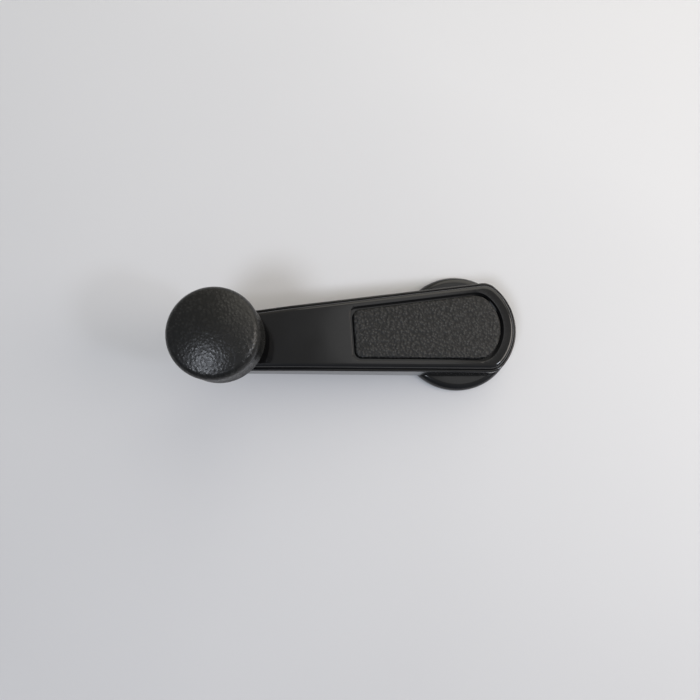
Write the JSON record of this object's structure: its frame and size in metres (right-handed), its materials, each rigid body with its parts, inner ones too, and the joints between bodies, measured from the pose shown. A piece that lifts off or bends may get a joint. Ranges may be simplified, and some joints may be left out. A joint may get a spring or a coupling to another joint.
{
  "type": "window crank handle",
  "caption": "Tapered crank handle with a splined hub, a trim disc behind it and a spinning knob, for winding a window regulator.",
  "frame": {"origin": "on the spindle axis, in the plane where the trim disc's edge rests on the door trim", "axes": "+Z out of the door along the spindle axis; the arm runs along -X to the knob; +Y completes a right-handed set"},
  "size_m": [0.1291, 0.0466, 0.0482],
  "materials": {
    "gloss_black": "gloss black moulding",
    "grained_black": "fine leather-like moulded grain",
    "acetal": "natural off-white acetal",
    "zinced_steel": "bright zinc plating",
    "spring_steel": "dark oiled spring steel"
  },
  "bodies": {
    "escutcheon": {"escutcheon_disc": "gloss_black"},
    "crank": {"crank_arm": "gloss_black", "trim_panel": "grained_black", "spline_bush": "zinced_steel", "spindle_clip": "spring_steel", "knob_spindle": "zinced_steel", "rivet_washer": "zinced_steel", "thrust_washer": "acetal", "wave_washer": "spring_steel", "lock_washer": "spring_steel"},
    "knob": {"knob_bush": "acetal", "knob_body": "grained_black", "knob_cap": "grained_black"}
  },
  "joints": [
    {"name": "crank_turn", "type": "hinge", "parent": "escutcheon", "child": "crank", "pos_m": [0, 0, 0], "axis": [0, 0, 1], "continuous": true},
    {"name": "knob_spin", "type": "hinge", "parent": "crank", "child": "knob", "pos_m": [-0.09, 0, 0.035], "axis": [0, 0, 1], "continuous": true}
  ]
}
